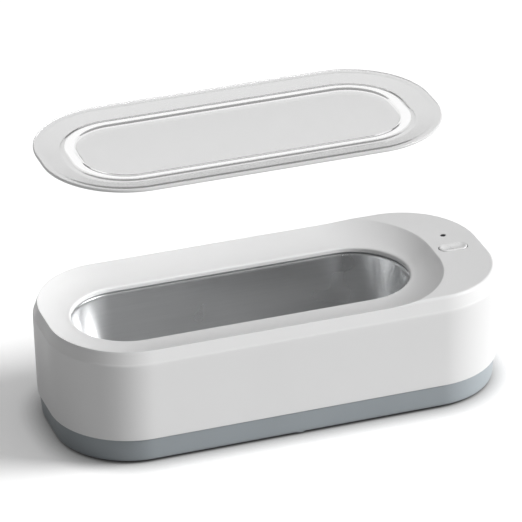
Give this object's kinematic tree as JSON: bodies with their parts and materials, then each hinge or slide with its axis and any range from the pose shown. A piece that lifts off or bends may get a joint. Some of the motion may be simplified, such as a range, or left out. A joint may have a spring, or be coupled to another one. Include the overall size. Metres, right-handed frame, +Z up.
{
  "type": "ultrasonic cleaner",
  "caption": "Oblong tabletop ultrasonic cleaner: white housing on a grey base, oblong steel tank, oval power button and a clear lid held above it.",
  "frame": {"origin": "on the floor under the middle of the housing", "axes": "+X along the housing towards the control panel, +Y towards the rear where the power socket is, +Z up"},
  "size_m": [0.208, 0.09, 0.132],
  "materials": {
    "white_housing": "satin white moulding",
    "grey_base": "fine matt blue-grey moulding",
    "clear_lid": "polished clear plastic",
    "white_button": "smooth white",
    "dark_lens": "smoked clear plastic",
    "stainless_steel": "drawn and brushed",
    "zinc_steel": "zinc plated",
    "rubber": "matt",
    "silicone": "soft translucent grey",
    "frame_plastic": "plain moulding",
    "black_plastic": "fine texture",
    "piezo_ceramic": "silvered matt ceramic",
    "epoxy": "cast resin",
    "circuit_board": "green solder resist",
    "ferrite": "dark sintered",
    "copper_wire": "lacquered wire",
    "aluminium": "extruded",
    "capacitor_sleeve": "shrink sleeve",
    "film_block": "dipped",
    "connector": "natural nylon",
    "red_wire": "wire insulation",
    "black_wire": "wire insulation",
    "ribbon": "flat cable",
    "label": "plain film, no text"
  },
  "bodies": {
    "housing": {"upper_housing": "white_housing", "base_shell": "grey_base", "rating_label": "label", "foot_rear_right": "rubber", "foot_rear_left": "rubber", "foot_front_left": "rubber", "foot_front_right": "rubber", "base_screw_1": "zinc_steel", "base_screw_2": "zinc_steel", "base_screw_3": "zinc_steel", "base_screw_4": "zinc_steel", "base_screw_5": "zinc_steel", "base_screw_6": "zinc_steel", "tank": "stainless_steel", "tank_gasket": "silicone", "tank_clamp_frame": "frame_plastic", "clamp_screw_1": "zinc_steel", "clamp_screw_2": "zinc_steel", "clamp_screw_3": "zinc_steel", "clamp_screw_4": "zinc_steel", "clamp_screw_5": "zinc_steel", "clamp_screw_6": "zinc_steel", "transducer_bond": "epoxy", "piezo_transducer": "piezo_ceramic", "tact_switch": "black_plastic", "status_lens": "dark_lens", "status_led": "connector", "control_board": "circuit_board", "control_connector": "connector", "panel_screw_1": "zinc_steel", "panel_screw_2": "zinc_steel", "driver_board": "circuit_board", "board_screw_1": "zinc_steel", "board_screw_2": "zinc_steel", "board_screw_3": "zinc_steel", "board_screw_4": "zinc_steel", "heat_sink": "aluminium", "drive_transistor": "black_plastic", "transformer_core": "ferrite", "transformer_winding": "copper_wire", "smoothing_capacitor": "capacitor_sleeve", "film_capacitor": "film_block", "fuse": "black_plastic", "power_connector": "connector", "transducer_connector": "connector", "panel_connector": "connector", "power_socket": "black_plastic", "socket_pin": "zinc_steel", "power_lead_red": "red_wire", "power_lead_black": "black_wire", "transducer_lead_red": "red_wire", "transducer_lead_black": "black_wire", "panel_ribbon": "ribbon"},
    "lid": {"lid": "clear_lid"},
    "button": {"power_button": "white_button", "switch_plunger": "black_plastic"}
  },
  "joints": [
    {"name": "lid_lift", "type": "slide", "parent": "housing", "child": "lid", "axis": [0, 0, 1], "range_m": [-0.075, 0.02]},
    {"name": "power_press", "type": "slide", "parent": "housing", "child": "button", "axis": [0, 0, -1], "range_m": [0, 0.0005], "stiffness_N_per_m": 1500, "springref_m": -0.0005}
  ]
}
